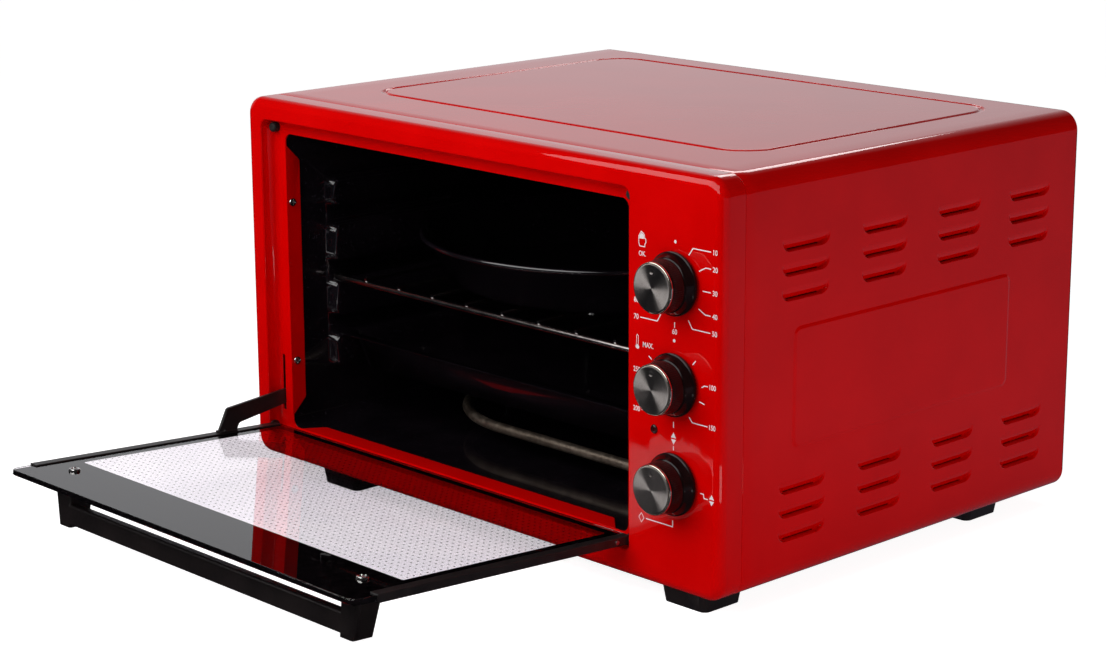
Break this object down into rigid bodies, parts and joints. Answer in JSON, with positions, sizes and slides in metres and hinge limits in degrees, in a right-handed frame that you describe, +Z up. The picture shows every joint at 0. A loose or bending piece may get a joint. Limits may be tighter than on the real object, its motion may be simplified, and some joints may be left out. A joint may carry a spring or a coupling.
{
  "type": "countertop mini oven",
  "caption": "Countertop mini oven with a drop-down glass door, rotary controls on the right, louvred sides and a cavity holding a wire rack, a round pan and a tray.",
  "frame": {"origin": "on the supporting surface under the feet, midway between the casing's sides and midway between the open door's tip and the cord gland's end", "axes": "+Z up, -Y out of the oven's front towards the open door, +X towards the controls on the right as seen from the front"},
  "size_m": [0.5016, 0.6257, 0.2995],
  "materials": {
    "red_enamel": "bright red gloss enamel",
    "grey_steel": "zinc-coated sheet",
    "dark_enamel": "black speckled enamel",
    "element_steel": "heat-tinted steel tube",
    "chrome": "bright plated",
    "black_plastic": "black gloss",
    "matt_plastic": "black satin",
    "knob_face": "radially brushed",
    "black_steel": "black powder coat",
    "rubber": "matt",
    "glass": "printed clear glass",
    "ceramic": "white steatite",
    "red_lens": "dark red translucent",
    "pale_plastic": "moulded"
  },
  "bodies": {
    "casing": {"front_frame": "red_enamel", "casing_wrap": "red_enamel", "base_plate": "grey_steel", "back_panel": "red_enamel", "feet": "matt_plastic", "foot_screws": "chrome", "casing_screws": "chrome", "cord_gland": "matt_plastic", "terminal_block": "pale_plastic", "cavity_liner": "dark_enamel", "liner_back": "dark_enamel", "upper_heater": "element_steel", "lower_heater": "element_steel", "heater_terminals": "ceramic", "heater_clips": "grey_steel", "liner_supports": "grey_steel", "control_shield": "grey_steel", "flange_screws": "chrome", "thermostat_bulb": "grey_steel", "lamp_lens": "red_lens", "lamp_body": "pale_plastic", "door_bumpers": "rubber", "hinge_brackets": "grey_steel", "timer_unit": "grey_steel", "thermostat_unit": "grey_steel", "selector_switch": "pale_plastic"},
    "door": {"door_glass": "glass", "left_rail": "black_steel", "right_rail": "black_steel", "hinge_pins": "grey_steel", "door_arm": "black_steel", "arm_rivets": "black_steel", "door_handle": "matt_plastic", "handle_screws": "chrome"},
    "timer_control": {"timer_shaft": "grey_steel", "timer_knob": "black_plastic", "timer_knob_ring": "chrome", "timer_knob_cap": "knob_face"},
    "thermostat_control": {"thermostat_shaft": "grey_steel", "thermostat_knob": "black_plastic", "thermostat_knob_ring": "chrome", "thermostat_knob_cap": "knob_face"},
    "selector_control": {"selector_shaft": "grey_steel", "selector_knob": "black_plastic", "selector_knob_ring": "chrome", "selector_knob_cap": "knob_face"},
    "rack": {"wire_rack": "chrome"},
    "pan": {"round_pan": "dark_enamel"},
    "tray": {"baking_tray": "dark_enamel"}
  },
  "joints": [
    {"name": "door_hinge", "type": "hinge", "parent": "casing", "child": "door", "pos_m": [-0.0338, -0.07068, 0.0385], "axis": [-1, 0, 0], "range_deg": [0, 86.6]},
    {"name": "timer_turn", "type": "hinge", "parent": "casing", "child": "timer_control", "pos_m": [0.20765, -0.07443, 0.22525], "axis": [0, 1, 0], "range_deg": [-45, 245]},
    {"name": "thermostat_turn", "type": "hinge", "parent": "casing", "child": "thermostat_control", "pos_m": [0.20765, -0.07443, 0.157], "axis": [0, 1, 0], "range_deg": [0, 305]},
    {"name": "selector_turn", "type": "hinge", "parent": "casing", "child": "selector_control", "pos_m": [0.20765, -0.07443, 0.08875], "axis": [0, 1, 0], "range_deg": [0, 270]},
    {"name": "rack_slide", "type": "slide", "parent": "casing", "child": "rack", "axis": [0, 1, 0], "range_m": [-0.24, 0]},
    {"name": "pan_lift", "type": "slide", "parent": "rack", "child": "pan", "axis": [0, 0, 1], "range_m": [0, 0.04]},
    {"name": "tray_slide", "type": "slide", "parent": "casing", "child": "tray", "axis": [0, 1, 0], "range_m": [-0.24, 0]}
  ]
}
